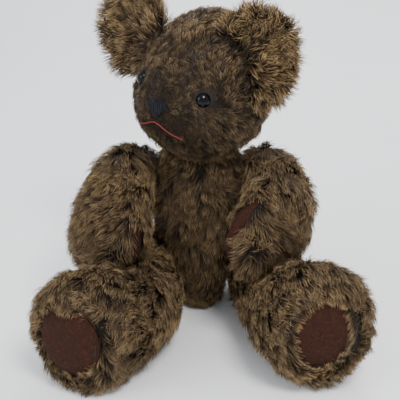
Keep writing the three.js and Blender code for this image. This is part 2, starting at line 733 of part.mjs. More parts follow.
function addHead() {
  const head = new THREE.Group();
  head.position.set(...HEAD_CENTRE);
  head.rotation.set(0, radians(HEAD_TILT), radians(HEAD_TURN), 'ZYX');
  head.updateMatrix();
  bear.add(head);

  const neck = jointFrame(JOINTS.neck);
  const toHead = new THREE.Matrix4().multiplyMatrices(head.matrix.clone().invert(), neck.matrix);
  const neckRoom = postRoom(DISCS.neck).transform(toHead.toArray());
  const neckPocket = limbPocket(DISCS.neck).transform(toHead.toArray());
  const envelope = headBody(-2 * GAP, 20, 36);


  let inside = headBody(SKIN + FILLING_GAP + GAP).subtract(neckPocket);
  for (const [name, mirror] of Object.entries(SIDES)) {
    const place = eyeFrame(mirror);
    const eyeRoom = stemRoom().transform(place.matrix.toArray());
    const pocket = rod(EYE_WASHER_RADIUS + GAP, ...EYE_POCKET_DEPTH).transform(place.matrix.toArray());
    inside = inside.subtract(eyeRoom).subtract(pocket);
    const panel = headSide(mirror).subtract(neckRoom).subtract(eyeRoom);
    head.add(named(`head_side_${name}`, panel, plush()));
    addEye(place, name);
    head.add(place);
    addEar(head, name, envelope);
  }
  const chin = headStrip(THROAT_AROUND, MOUTH_AROUND, CHIN_STEPS).subtract(neckRoom);
  head.add(named('head_gusset', headStrip(MOUTH_AROUND, NAPE_AROUND, GUSSET_STEPS), plush()));
  head.add(named('head_chin', chin, plush()));
  head.add(named('head_stuffing', inside, filling()));
  head.add(named('nose', noseSolid(envelope), darkThread()));
  head.add(named('mouth', mouthSolid(), redThread()));
  addDiscJoint(neck, 'neck', DISCS.neck, 1);
  bear.add(neck);
}

// ---------------------------------------------------------------- the bear
addTorso();
addHead();
for (const name of Object.keys(SIDES)) {
  addArm(name);
  addLeg(name);
}

export default bear;
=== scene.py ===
"""The looks of a 16-inch disc-jointed teddy bear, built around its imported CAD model.

Every sewn panel becomes one piece: its skin and the locks of pile that grow from it. The pads are felt, the
nose and mouth thread and the eyes glossy domes. Metres, +Z up, and the bear faces -Y.
"""

import json
import math

import bmesh
import bpy
import numpy as np
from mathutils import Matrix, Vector
from mathutils.bvhtree import BVHTree
from mathutils.kdtree import KDTree


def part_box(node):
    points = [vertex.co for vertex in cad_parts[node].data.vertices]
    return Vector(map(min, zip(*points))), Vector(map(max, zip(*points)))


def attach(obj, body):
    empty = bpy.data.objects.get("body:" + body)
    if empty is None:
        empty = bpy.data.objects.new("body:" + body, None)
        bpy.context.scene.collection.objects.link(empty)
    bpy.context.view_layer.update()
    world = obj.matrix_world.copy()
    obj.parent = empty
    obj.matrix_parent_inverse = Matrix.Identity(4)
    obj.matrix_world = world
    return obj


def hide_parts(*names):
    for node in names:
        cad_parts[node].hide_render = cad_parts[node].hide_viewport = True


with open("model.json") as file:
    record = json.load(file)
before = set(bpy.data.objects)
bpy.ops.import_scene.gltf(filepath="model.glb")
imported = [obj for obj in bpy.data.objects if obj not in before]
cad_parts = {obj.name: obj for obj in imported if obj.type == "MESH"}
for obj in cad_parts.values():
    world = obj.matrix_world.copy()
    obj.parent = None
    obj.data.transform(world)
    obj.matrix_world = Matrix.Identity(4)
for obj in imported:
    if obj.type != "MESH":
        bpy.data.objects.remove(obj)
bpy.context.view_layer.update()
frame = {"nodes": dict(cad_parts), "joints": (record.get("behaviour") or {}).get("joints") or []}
NODES = frame["nodes"]
SIDES = ("left", "right")

# ---------------------------------------------------------------- sizes
VOXEL = 0.0024          # of the smooth skin made over the faceted panels,
EAR_VOXEL = 0.0018      # of the thinner ears',
FIBRE_VOXEL = 0.006     # and of the stuffing's
SMOOTHING = 0.55        # share of the way to its neighbours that a point of a skin moves,
SWELLING = 0.5          # and the share that it moves back on the next round
SPECK = 40              # surfaces of no more points than this are left out
SKIN = 0.0016           # thickness of a panel's backing
FLOOR = 0.0004          # nothing of the pile goes below this height,
FLOOR_SPREAD = 0.0009   # and locks laid on the floor are spread over this much more
STRAND_AREA = 1.3e-6    # skin per lock of pile, in square metres
CLUMP_AREA = 17e-6      # skin per tuft of locks
CLIPPED = 0.011         # pile shorter than this grows closer together, up to MOST_CLOSE times
MOST_CLOSE = 4.5
# How tufts differ: spread by chance, size of a slow drift, the drift's width, and its seed after the form's.
TUFTS_VARY = {"turn": (0.30, 0.7, 0.05, 5), "lift": (0.17, 0.25, 0.03, 9), "tone": (0.12, 0.15, 0.035, 3)}
LOCKS_VARY = {"turn": 0.3, "lift": 0.14, "tone": 0.10}      # and how the locks of a tuft do
LENGTHS_VARY = (0.72, 1.12)
GATHERED = (0.2, 0.75)  # how far locks are drawn to the middle of their tuft, from least to most
FREE_PILE = 0.009       # shorter pile than this is gathered less
KEPT_APART = 0.25       # how much of a lock's place in its tuft is left at the tips
FIRST_LEAN = 0.62       # how far a lock leans from the skin's normal at its root, in radians,
MORE_LEAN = 0.34        # and how much more with every step along it
LEANS = (0.15, 1.5)
DROOP = 0.16            # how much more it hangs with every step
ROOT_DEPTH = 0.0006     # how far a lock starts inside the skin
STATIONS = (0.0, 0.34, 0.68, 1.0)   # where along its length a lock's four points are
THICK = (0.00020, 0.00036)          # a lock's radius at its root, from thinnest to thickest
TAPER = (1.0, 0.95, 0.7)            # of that radius, at each station before the tip
FLATNESS = 0.7                      # its height across its comb against its width
FULL_WIDTH = 0.012                  # pile shorter than this is finer
SHORTEST = 0.002                    # of a tuft's guide
ROOT_SHADES = ((0.003, 0.010), (0.26, 0.02))    # lengths of pile, and where their ramp starts: deeper pile starts lower, in more of the painted shade at the roots
TIP_SHADE = 0.98                    # and where it ends
TONES = (0.02, 0.92)                # darkest and palest place on the ramp of tones
SKIN_TONE = 0.35                    # and the backing's, a darker tone that paints shade into the gaps between locks
PILE_LENGTH = {"torso": 0.0155, "arm": 0.0165, "leg": 0.0160, "ear": 0.0170}
HEAD_REACH = (0, 0.014, 0.03, 0.045, 0.065, 0.09)                   # distances from the nose, and
HEAD_LENGTH = (0.0024, 0.0034, 0.0050, 0.0075, 0.0098, 0.0122)      # the length of the pile there
MOST_SPREAD = 0.45      # how far the pile turns aside over a paw
DARKER = {"nose": 0.5, "ears": 0.6, "eyes": 0.38}   # how much darker the head's pile is by each: darker pile about the nose, painted shade at the roots of the ears and in the hollows of the eyes
EAR_PALER = 0.26
EYE_RADIUS = 0.0061
EYE_HEIGHT = 0.0044
EYE_STEM = (0.0035, 0.0056)     # radius of its flat back, and how far that is behind the top
EYE_SUNK = 0.0012       # how far the top of the dome is set back from the CAD eye's
FELT_DOME = 0.0032      # how far a sole bulges at its middle
FELT_TUCK = 0.0028      # how far its sewn edge is drawn in
FELT_BACK = 0.0045      # depth of its back behind its plane
FELT_GRAIN = 0.00035    # how much its face is uneven
SEAM_REACH = 1.03       # its outline against the CAD sole's
MOUTH_THREAD = 0.00065  # radius of the mouth's thread,
NOSE_THREAD = 0.0014    # and of the nose's
NOSE_THREADS = 8
NOSE_INSET = 0.0011     # how far the outermost ones are from the nose's edges
NOSE_SUNK = 0.0040      # how far the pad under them is pushed in
NOSE_BACK = 0.0010      # how far the middle threads are set back into the muzzle,
NOSE_CURVE = 0.0024     # and how much farther those at the sides are
NOSE_BULGE = 0.0008     # how far a thread bulges between its ends
THREAD_STEP = 0.00045   # between the rings of a thread
PLY_OUT = 0.5           # how far a ply's middle is from the thread's, against the thread's radius,
PLY_RADIUS = 0.55       # and the ply's own radius
FIBRE_INSET = 0.0022    # of the stuffing inside its CAD solid,
FIBRE_LUMPS = 0.0009    # and how uneven it is
SEEDS = {"torso": 100, "head": 200, "ear": 300, "arm": 400, "leg": 500}
SIDE_SEED = 10          # added for the second of a pair


# ---------------------------------------------------------------- small tools
def unit(v):
    v = np.asarray(v, float)
    return v / np.maximum(np.linalg.norm(v, axis=-1, keepdims=True), 1e-12)


def triangles_of(mesh):
    """A mesh's points and triangles."""
    points = np.empty(len(mesh.vertices) * 3)
    mesh.vertices.foreach_get("co", points)
    mesh.calc_loop_triangles()
    faces = np.empty(len(mesh.loop_triangles) * 3, int)
    mesh.loop_triangles.foreach_get("vertices", faces)
    return points.reshape(-1, 3), faces.reshape(-1, 3)


def node_mesh(name):
    """A CAD node's points and triangles."""
    return triangles_of(NODES[name].data)


def principal_axes(points):
    """The middle of a cloud of points, and its axes from the longest to the shortest."""
    centre = points.mean(0)
    return centre, np.linalg.svd(points - centre, full_matrices=False)[2]


def middle(name):
    low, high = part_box(name)
    return np.array((low + high) / 2)


def mesh_object(name, points, faces, uv=None):
    """A mesh object; uv has one pair per point, kept in the layer named OFBake."""
    points = np.ascontiguousarray(points, np.float32)
    faces = np.ascontiguousarray(faces, np.int32)
    mesh = bpy.data.meshes.new(name)
    mesh.vertices.add(len(points))
    mesh.vertices.foreach_set("co", points.ravel())
    mesh.loops.add(faces.size)
    mesh.loops.foreach_set("vertex_index", faces.ravel())
    mesh.polygons.add(len(faces))
    mesh.polygons.foreach_set("loop_start", np.arange(0, faces.size, faces.shape[1], dtype=np.int32))
    if uv is not None:
        layer = mesh.uv_layers.new(name="OFBake")
        layer.data.foreach_set("uv", np.asarray(uv, np.float32)[faces.ravel()].ravel())
    mesh.update(calc_edges=True)
    mesh.polygons.foreach_set("use_smooth", np.ones(len(faces), bool))
    obj = bpy.data.objects.new(name, mesh)
    bpy.context.scene.collection.objects.link(obj)
    return obj


def corner_normals(points, faces):
    """One averaged normal for each point of a triangle mesh."""
    a, b, c = (points[faces[:, k]] for k in range(3))
    across = np.cross(b - a, c - a)
    total = np.zeros_like(points)
    for k in range(3):
        np.add.at(total, faces[:, k], across)
    return unit(total)


def noise(points, scale, seed, octaves=3):
    """Smooth noise between about -1 and 1, from sums of waves in random directions."""
    rng = np.random.default_rng(seed)
    total = np.zeros(len(points))
    weight = 0
    for octave in range(octaves):
        for _ in range(5):
            wave = unit(rng.normal(size=3)) * 2 * math.pi / scale * 1.9**octave
            total += np.sin(points @ wave + rng.uniform(0, 6.28)) * 0.6**octave
        weight += 1.6 * 0.6**octave
    return total / weight


def edges_of(faces):
    """The three edges of each triangle, as pairs of point numbers."""
    return np.concatenate([faces[:, [0, 1]], faces[:, [1, 2]], faces[:, [2, 0]]])


def ring_faces(rings, columns):
    """The quads between each ring of points and the next."""
    faces = []
    for i in range(rings - 1):
        for j in range(columns):
            a, b = i * columns + j, i * columns + (j + 1) % columns
            faces.append((a, b, b + columns, a + columns))
    return faces


def shell(points, faces, thickness):
    """A patch of skin as a closed sheet: its outside, its inside and the edge between them."""
    used, flat = np.unique(faces, return_inverse=True)
    tris = flat.reshape(-1, 3)
    outer = points[used]
    inner = outer - corner_normals(outer, tris) * thickness
    count = len(outer)
    edges = edges_of(tris)
    key = edges[:, 0].astype(np.int64) * count + edges[:, 1]
    back = edges[:, 1].astype(np.int64) * count + edges[:, 0]
    a, b = edges[~np.isin(key, back)].T
    wall = np.concatenate([np.stack([b, a, a + count], 1), np.stack([b, a + count, b + count], 1)])
    return np.concatenate([outer, inner]), np.concatenate([tris, tris[:, ::-1] + count, wall])


# ---------------------------------------------------------------- smooth skins
def smooth_skin(name, nodes, voxel=VOXEL, rounds=14):
    """The smooth closed outside of a form, made over its faceted CAD nodes."""
    bm = bmesh.new()
    for node in nodes:
        bm.from_mesh(NODES[node].data)
    mesh = bpy.data.meshes.new(name)
    bm.to_mesh(mesh)
    bm.free()
    rough = bpy.data.objects.new(name, mesh)
    bpy.context.scene.collection.objects.link(rough)
    remesh = rough.modifiers.new("remesh", "REMESH")
    remesh.mode = "VOXEL"
    remesh.voxel_size = voxel
    made = rough.evaluated_get(bpy.context.evaluated_depsgraph_get()).to_mesh()
    points, faces = triangles_of(made)
    bpy.data.objects.remove(rough)
    bpy.data.meshes.remove(mesh)
    points, faces = outermost(points, faces)
    return relaxed(points, faces, rounds), faces


def outermost(points, faces):
    """The largest of the separate surfaces of a mesh."""
    label = np.arange(len(points))
    while True:
        low = label[faces].min(1)
        new = label.copy()
        for k in range(3):
            np.minimum.at(new, faces[:, k], low)
        new = new[new]
        if (new == label).all():
            break
        label = new
    best, size = None, -1
    for part in np.unique(label):
        inside = points[label == part]
        if len(inside) > SPECK and np.ptp(inside, axis=0).sum() > size:
            best, size = part, np.ptp(inside, axis=0).sum()
    keep = label == best
    number = np.cumsum(keep) - 1
    return points[keep], number[faces[keep[faces[:, 0]]]]


def relaxed(points, faces, rounds):
    """The same mesh with its facets smoothed out, keeping its size."""
    edges = np.unique(np.sort(edges_of(faces), 1), axis=0)
    count = np.bincount(edges.ravel(), minlength=len(points))[:, None]
    for step in range(2 * rounds):
        total = np.zeros_like(points)
        np.add.at(total, edges[:, 0], points[edges[:, 1]])
        np.add.at(total, edges[:, 1], points[edges[:, 0]])
        points = points + (total / count - points) * (SMOOTHING if step % 2 == 0 else -SWELLING)
    return points


def share_out(points, faces, nodes):
    """Which of the nodes each face of a skin belongs to: the nearest."""
    trees = []
    for node in nodes:
        verts, tris = node_mesh(node)
        trees.append(BVHTree.FromPolygons(verts.tolist(), tris.tolist()))
    centres = points[faces].mean(1)
    distance = np.empty((len(nodes), len(faces)))
    for i, tree in enumerate(trees):
        distance[i] = [tree.find_nearest(c)[3] for c in centres.tolist()]
    return distance.argmin(0)


# ---------------------------------------------------------------- pile
def varied(points, rng, seed, chance, drift, width, place):
    """One way in which tufts differ: by chance, and more slowly with where they are."""
    return rng.normal(0, chance, len(points)) + drift * noise(points, width, seed + place)


def grow(points, faces, settings, seed, tone_and_painted_shade):
    """Locks of pile over a patch of skin.

    settings gives, for roots and normals, the way they are combed, how long they are and which are kept.
    """
    rng = np.random.default_rng(seed)
    corners = points[faces]
    across = np.cross(corners[:, 1] - corners[:, 0], corners[:, 2] - corners[:, 0])
    area = np.linalg.norm(across, axis=1) / 2
    normals = corner_normals(points, faces)

    face_length = settings(corners.mean(1), unit(across))[1]
    boost = np.clip((CLIPPED / face_length) ** 1.1, 1, MOST_CLOSE)

    def scatter(per_area, boost=1.0):
        amount = area / per_area * boost
        number = np.floor(amount + rng.random(len(area))).astype(int)
        face = np.repeat(np.arange(len(faces)), number)
        u, v = rng.random(len(face)), rng.random(len(face))
        flip = u + v > 1
        u[flip], v[flip] = 1 - u[flip], 1 - v[flip]
        weights = np.stack([1 - u - v, u, v], 1)[:, :, None]
        return (corners[face] * weights).sum(1), unit((normals[faces[face]] * weights).sum(1))

    tufts, tuft_normals = scatter(CLUMP_AREA)
    roots, root_normals = scatter(STRAND_AREA, boost)
    comb, length, keep = settings(roots, root_normals)
    roots, root_normals, comb, length = roots[keep], root_normals[keep], comb[keep], length[keep]
    if not len(roots):
        return None
    tuft_comb, tuft_length, _ = settings(tufts, tuft_normals)
    tuft_length = np.maximum(tuft_length, SHORTEST)
    turn, lift, tuft_tone = (varied(tufts, rng, seed, *how) for how in TUFTS_VARY.values())
    guide = strand_line(tufts, tuft_normals, tuft_comb, tuft_length, turn, lift)

    tree = KDTree(len(tufts))
    for i, p in enumerate(tufts.tolist()):
        tree.insert(p, i)
    tree.balance()
    owner = np.array([tree.find(p)[1] for p in roots.tolist()])
    count = len(roots)
    length = length * rng.uniform(*LENGTHS_VARY, count)
    turns = turn[owner] + rng.normal(0, LOCKS_VARY["turn"], count)
    lifts = lift[owner] + rng.normal(0, LOCKS_VARY["lift"], count)
    own = strand_line(roots, root_normals, comb, length, turns, lifts)
    gather = rng.uniform(*GATHERED, count)[:, None]
    gather *= np.clip(length / FREE_PILE, 0.15, 1)[:, None]
    offset = (roots - tufts[owner]) * KEPT_APART
    for k in range(4):
        pull = gather * STATIONS[k] ** 1.5
        own[k] = own[k] * (1 - pull) + (guide[k][owner] + offset) * pull
    for line in own:
        line[:, 2] = np.maximum(line[:, 2], FLOOR + FLOOR_SPREAD * rng.random(count))
    # The form's darkening or paling is taken off here; on the head it holds the darker pile about the nose
    # and painted shade about the eyes and at the roots of the ears.
    tone = 0.5 + tuft_tone[owner] + rng.normal(0, LOCKS_VARY["tone"], count) - tone_and_painted_shade(roots)
    tone = np.clip(tone, *TONES)
    width = rng.uniform(*THICK, count) * np.clip(length / FULL_WIDTH, 0.6, 1.05)
    return strand_mesh(own, root_normals, width, tone, root_shade(length))


def strand_line(roots, normals, comb, length, turn, lift):
    """Four points along each lock: it leaves the skin steeply, then leans the way it is combed and droops."""
    flat = unit(comb - (comb * normals).sum(1, keepdims=True) * normals)
    aside = np.cross(normals, flat)
    along = flat * np.cos(turn)[:, None] + aside * np.sin(turn)[:, None]
    place = roots.copy()
    lines = [roots - normals * ROOT_DEPTH]
    droop = np.array([0, 0, -DROOP])
    for k in range(1, 4):
        lean = np.clip(FIRST_LEAN + MORE_LEAN * k - lift, *LEANS)[:, None]
        heading = unit(normals * np.cos(lean) + along * np.sin(lean) + droop * k * 0.6)
        place = place + heading * (length * (STATIONS[k] - STATIONS[k - 1]))[:, None]
        lines.append(place)
    return [np.array(line) for line in lines]


def root_shade(length):
    """Where along the pile's root-to-tip colours a lock starts: long pile starts in the painted shade at the
    roots, clipped pile shows none.
    """
    return np.interp(length, *ROOT_SHADES)


def strand_mesh(lines, normals, width, tone, shade):
    """Three-sided tapered locks as points, triangles and (tone, place along) pairs."""
    count = len(width)
    rings = []
    for k in range(3):
        heading = unit(lines[k + 1] - lines[max(0, k - 1)])
        side = unit(np.cross(heading, normals) + 1e-6)
        up = np.cross(side, heading)
        radius = (width * TAPER[k])[:, None]
        for angle in (90, 210, 330):
            a = math.radians(angle)
            rings.append(lines[k] + (side * math.cos(a) + up * FLATNESS * math.sin(a)) * radius)
    points = np.stack(rings + [lines[3]], 1)
    tris = [(0, 2, 1)]
    for k in range(2):
        for j in range(3):
            a, b = 3 * k + j, 3 * k + (j + 1) % 3
            tris += [(a, b, b + 3), (a, b + 3, a + 3)]
    for j in range(3):
        tris.append((6 + j, 6 + (j + 1) % 3, 9))
    size = points.shape[1]
    faces = np.array(tris)[None] + (np.arange(count) * size)[:, None, None]
    along = np.repeat(STATIONS, (3, 3, 3, 1))
    start = np.repeat(shade, size)
    uv = np.stack([np.repeat(tone, size), start + (TIP_SHADE - start) * np.tile(along, count)], 1)
    return points.reshape(-1, 3), faces.reshape(-1, 3), uv


# ---------------------------------------------------------------- finishes
def new_material(name):
    material = bpy.data.materials.new(name)
    material.use_nodes = True
    tree = material.node_tree
    return material, tree, tree.nodes["Principled BSDF"]


def srgb(r, g, b):
    """A colour as the eye names it, 0 to 255, in the linear values that a material takes."""
    shares = (c / 255 for c in (r, g, b))
    return tuple(c / 12.92 if c <= 0.04045 else ((c + 0.055) / 1.055) ** 2.4 for c in shares) + (1,)


def ramp(tree, source, stops):
    node = tree.nodes.new("ShaderNodeValToRGB")
    while len(node.color_ramp.elements) > 1:
        node.color_ramp.elements.remove(node.color_ramp.elements[-1])
    node.color_ramp.elements[0].position = stops[0][0]
    node.color_ramp.elements[0].color = stops[0][1]
    for position, colour in stops[1:]:
        node.color_ramp.elements.new(position).color = colour
    tree.links.new(source, node.inputs["Fac"])
    return node.outputs["Color"]


MIX_A, MIX_B, MIX_RESULT = 6, 7, 2      # the mix node's colour sockets, by number


def pile_material():
    """Olive-brown pile: roots darkened with painted shade deep in the pile, paler tips, and each lock a
    little different.
    """
    material, tree, shader = new_material("pile")
    place = tree.nodes.new("ShaderNodeUVMap")
    place.uv_map = "OFBake"
    parts = tree.nodes.new("ShaderNodeSeparateXYZ")
    tree.links.new(place.outputs["UV"], parts.inputs["Vector"])
    # Along a lock, from near-black painted shade at the root to pale tips.
    along = ramp(tree, parts.outputs["Y"], [
        (0.0, srgb(23, 17, 12)), (0.3, srgb(60, 46, 31)), (0.62, srgb(108, 86, 59)),
        (1.0, srgb(220, 190, 144))])
    tone = ramp(tree, parts.outputs["X"], [
        (0.0, srgb(84, 76, 70)), (0.5, srgb(208, 205, 200)), (1.0, srgb(255, 252, 240))])
    mix = tree.nodes.new("ShaderNodeMix")
    mix.data_type = "RGBA"
    mix.blend_type = "MULTIPLY"
    mix.inputs["Factor"].default_value = 1
    tree.links.new(along, mix.inputs[MIX_A])
    tree.links.new(tone, mix.inputs[MIX_B])
    tree.links.new(mix.outputs[MIX_RESULT], shader.inputs["Base Color"])
    shader.inputs["Roughness"].default_value = 0.62
    shader.inputs["Specular IOR Level"].default_value = 0.32
    return material


def noisy_material(name, stops, scale, roughness, bump=0.0, fine=1.0, metal=0.0):
    """A finish whose colour and surface vary in the object's own space."""
    material, tree, shader = new_material(name)
    place = tree.nodes.new("ShaderNodeTexCoord")
    cloud = tree.nodes.new("ShaderNodeTexNoise")
    cloud.inputs["Scale"].default_value = scale
    cloud.inputs["Detail"].default_value = 7
    cloud.inputs["Roughness"].default_value = 0.72
    tree.links.new(place.outputs["Object"], cloud.inputs["Vector"])
    tree.links.new(ramp(tree, cloud.outputs["Fac"], stops), shader.inputs["Base Color"])
    shader.inputs["Roughness"].default_value = roughness
    shader.inputs["Metallic"].default_value = metal
    if bump:
        grain = tree.nodes.new("ShaderNodeTexNoise")
        grain.inputs["Scale"].default_value = scale * fine
        grain.inputs["Detail"].default_value = 5
        tree.links.new(place.outputs["Object"], grain.inputs["Vector"])
        relief = tree.nodes.new("ShaderNodeBump")
        relief.inputs["Strength"].default_value = bump
        relief.inputs["Distance"].default_value = 0.0006
        tree.links.new(grain.outputs["Fac"], relief.inputs["Height"])
        tree.links.new(relief.outputs["Normal"], shader.inputs["Normal"])
    return material


PILE = pile_material()
FELT = noisy_material("felt", [(0.3, srgb(30, 14, 8)), (0.55, srgb(48, 24, 14)), (0.75, srgb(72, 40, 26))],
                      420, 0.94, bump=0.5, fine=2.2)
EYE = noisy_material("eye_black", [(0.4, srgb(5, 5, 6)), (0.7, srgb(11, 10, 12))], 60, 0.08)
NOSE = noisy_material("nose_thread",
                      [(0.35, srgb(4, 5, 8)), (0.55, srgb(20, 23, 30)), (0.72, srgb(62, 69, 84))],
                      420, 0.7, bump=0.4)
MOUTH = noisy_material("mouth_thread",
                       [(0.35, srgb(84, 18, 25)), (0.6, srgb(126, 30, 40)), (0.8, srgb(156, 56, 66))],
                       900, 0.6, bump=0.4)
FIBRE = noisy_material("fibre", [(0.35, srgb(216, 211, 200)), (0.65, srgb(240, 238, 232))],
                       260, 0.9, bump=0.6)
PLASTIC = noisy_material("joint_plastic", [(0.35, srgb(206, 200, 186)), (0.65, srgb(222, 217, 205))],
                         190, 0.48, bump=0.15, fine=3)
STEEL = noisy_material("lock_steel", [(0.35, srgb(138, 138, 136)), (0.65, srgb(176, 176, 173))],
                       300, 0.34, bump=0.15, fine=3, metal=1.0)


for finished, socket, value in ((FELT, "Specular IOR Level", 0.2), (NOSE, "Specular IOR Level", 0.3),
                                (EYE, "Specular IOR Level", 0.12), (EYE, "Coat Weight", 0.15),
                                (EYE, "Coat Roughness", 0.02)):
    finished.node_tree.nodes["Principled BSDF"].inputs[socket].default_value = value


def finish(obj, material, body, nodes=()):
    """Gives a piece its material and its body, and hides the CAD nodes that it stands for."""
    obj.data.materials.clear()
    obj.data.materials.append(material)
    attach(obj, body)
    if nodes:
        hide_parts(*nodes)


# ---------------------------------------------------------------- camera, light and floor
TARGET = Vector((0, 0, 0.096))
DISTANCE = 0.85
PITCH = math.radians(22)
camera = bpy.data.objects.new("camera", bpy.data.cameras.new("camera"))
camera.location = TARGET + DISTANCE * Vector((0, -math.cos(PITCH), math.sin(PITCH)))
camera.rotation_euler = (math.pi / 2 - PITCH, 0, 0)
camera.data.sensor_width = 36
camera.data.lens = 82.26
bpy.context.scene.collection.objects.link(camera)
bpy.context.scene.camera = camera


def area_light(name, place, aim, size, power, colour=(1, 1, 1)):
    light = bpy.data.lights.new(name, "AREA")
    light.shape = "DISK"
    light.size = size
    light.energy = power
    light.color = colour
    obj = bpy.data.objects.new(name, light)
    obj.location = place
    obj.rotation_euler = (Vector(aim) - Vector(place)).to_track_quat("-Z", "Y").to_euler()
    bpy.context.scene.collection.objects.link(obj)


area_light("key", (0.35, -0.9, 1.25), (0, -0.03, 0.12), 0.55, 20, (1.0, 0.985, 0.96))
area_light("fill", (-1.1, -0.7, 0.75), (0, -0.03, 0.12), 0.9, 8, (0.97, 0.985, 1.0))
area_light("back", (0.25, 1.0, 1.1), (0, 0, 0.15), 0.8, 12)
world = bpy.data.worlds.new("world")
world.use_nodes = True
world.node_tree.nodes["Background"].inputs["Color"].default_value = (0.93, 0.95, 1.0, 1)
world.node_tree.nodes["Background"].inputs["Strength"].default_value = 1.0
bpy.context.scene.world = world

FLOOR_REACH = 14.0      # how far the floor runs to the sides and the front
CURVE_AT = 0.9          # where it starts to curve up behind the bear
CURVE = 0.5             # the radius of that curve
WALL_TOP = 3.0
profile = [(-FLOOR_REACH, 0.0), (CURVE_AT, 0.0)]
for angle in np.linspace(0.1, math.pi / 2, 12):
    profile.append((CURVE_AT + CURVE * math.sin(angle), CURVE - CURVE * math.cos(angle)))
profile.append((CURVE_AT + CURVE, WALL_TOP))
stage_points = [(x, y, z) for x in (-FLOOR_REACH, FLOOR_REACH) for y, z in profile]
stage_faces = [(i, i + len(profile), i + len(profile) + 1, i + 1) for i in range(len(profile) - 1)]
backdrop = mesh_object("floor", np.array(stage_points), np.array(stage_faces))
backdrop.data.materials.append(
    noisy_material("floor", [(0.3, (0.86, 0.87, 0.88, 1)), (0.7, (0.91, 0.92, 0.93, 1))], 3, 0.75))


# ---------------------------------------------------------------- where things are
JOINTS = {j["child"]: np.array(j["pos_m"], float) for j in frame["joints"]}
NOSE_AT = middle("nose")
EYES_AT = {side: middle(f"eye_{side}") for side in SIDES}
HEAD_AT = middle("head_stuffing")


def oval_frame(name):
    """The middle, long, short and outward axes of a flat oval node, and its reach along each axis."""
    points, _ = node_mesh(name)
    centre, (long, short, across) = principal_axes(points)
    out = across * (-1 if across[1] > 0 else 1)
    local = (points - centre) @ np.stack([long, short, out], 1)
    return centre, long, short, out, np.abs(local).max(0)


SOLE_FRAMES = {side: oval_frame(f"sole_{side}") for side in SIDES}


# ---------------------------------------------------------------- how the pile lies
MIDLINE = 0.03          # the body's pile parts within this of its middle, and is short below this height
PAW = 0.045             # about how far over the paw the pile spreads
FOOT = 0.045            # and how far back from the sole it turns outwards
RIM = (1.45, 0.4)       # where the pile starts to stand round a sole, and over how much it does
BARE = {"reach": 1.0, "behind": 0.007}      # where no pile grows under a sole
CHEEK = 0.04            # how far below the head's middle the pile hangs fully
CHEEK_LONGER = 0.0028   # how much longer it is there, from CHEEK_FROM the nose onwards
CHEEK_FROM = 0.035
CHEEK_OVER = 0.02
EYE_RIM = 0.006         # the pile beside an eye is clipped from here
LID = 0.010             # outwards over this much,
LID_CLIPPED = 0.72      # at most by this share
EYE_CLEAR = 0.0062      # no pile grows within this of an eye's middle
MUZZLE = 0.048          # reach of the darker pile about the nose,
SOCKET = 0.020          # and of the painted shade in the hollow about an eye


def everywhere(count):
    return np.ones(count, bool)


# Each pile function gives, for roots and normals, the way to comb, the length and which roots to keep.
def body_pile(roots, normals):
    """Pile that falls down the body and parts to the sides, shorter underneath."""
    comb = np.tile([0.0, -0.12, -1.0], (len(roots), 1))
    comb[:, 0] += np.sign(roots[:, 0]) * 0.25 * np.clip(np.abs(roots[:, 0]) / MIDLINE, 0, 1)
    length = np.full(len(roots), PILE_LENGTH["torso"])
    length *= np.clip(0.55 + roots[:, 2] / MIDLINE, 0.55, 1)
    return comb, length, everywhere(len(roots))


def nearness(points, place, reach):
    """1 close to a place, falling to 0 at 1.3 times reach."""
    return np.clip(1.3 - np.linalg.norm(points - place, axis=1) / reach, 0, 1)


def arm_pile(side):
    """Pile that runs down the arm and spreads a little over the paw."""
    shoulder = JOINTS[f"{side}_arm"]
    points, _ = node_mesh(f"arm_{side}_outer")
    end = points[np.linalg.norm(points - shoulder, axis=1).argmax()]
    front = points[points[:, 1].argmin()]

    def settings(roots, normals):
        comb = np.tile(unit(end - shoulder), (len(roots), 1))
        comb += np.array([0, 0, -0.45])
        near = np.minimum(nearness(roots, front, PAW), MOST_SPREAD)[:, None]
        comb = unit(comb) * (1 - near) + unit(roots - front) * near
        return comb, np.full(len(roots), PILE_LENGTH["arm"]), everywhere(len(roots))

    return settings


def leg_pile(side):
    """Pile that runs along the leg and stands up round its sole."""
    hip = JOINTS[f"{side}_leg"]
    centre, _, _, out, _ = SOLE_FRAMES[side]

    def settings(roots, normals):
        comb = np.tile(unit(centre - hip), (len(roots), 1)) + np.array([0, 0, -0.25])
        reach, ahead = sole_reach(side, roots)
        flat = roots - centre - ahead[:, None] * out
        near = np.clip(1 + ahead / FOOT, 0, 1)[:, None]
        comb = unit(comb) * (1 - 0.55 * near) + (unit(flat) * 0.85 + out * 0.25) * near
        # The pile at the sole's seam stands up and falls a little over the felt.
        rim = sole_rim(side, roots)[:, None]
        comb = comb * (1 - rim) + (out * 0.9 - unit(flat) * 0.15) * rim
        length = PILE_LENGTH["leg"] * (1 - 0.45 * rim[:, 0])
        return comb, length, ~((ahead > -BARE["behind"]) & (reach < BARE["reach"]))

    return settings


def sole_rim(side, points):
    """How near points are to the seam of a sole, from 0 to 1."""
    reach, ahead = sole_reach(side, points)
    return np.clip((RIM[0] - reach) / RIM[1], 0, 1) * np.clip(1 + ahead / 0.02, 0, 1)


def sole_reach(side, points):
    """How far points are from a sole's middle, where 1 is its edge, and how far before its plane."""
    centre, long, short, out, size = SOLE_FRAMES[side]
    local = np.stack([(points - centre) @ long / size[0], (points - centre) @ short / size[1]], 1)
    return np.linalg.norm(local, axis=1), (points - centre) @ out


def under_sole(side):
    """Tells which points of a leg's skin the sole's felt covers."""
    def hidden(points):
        reach, ahead = sole_reach(side, points)
        return (reach < 0.9) & (ahead > -FELT_BACK)

    return hidden


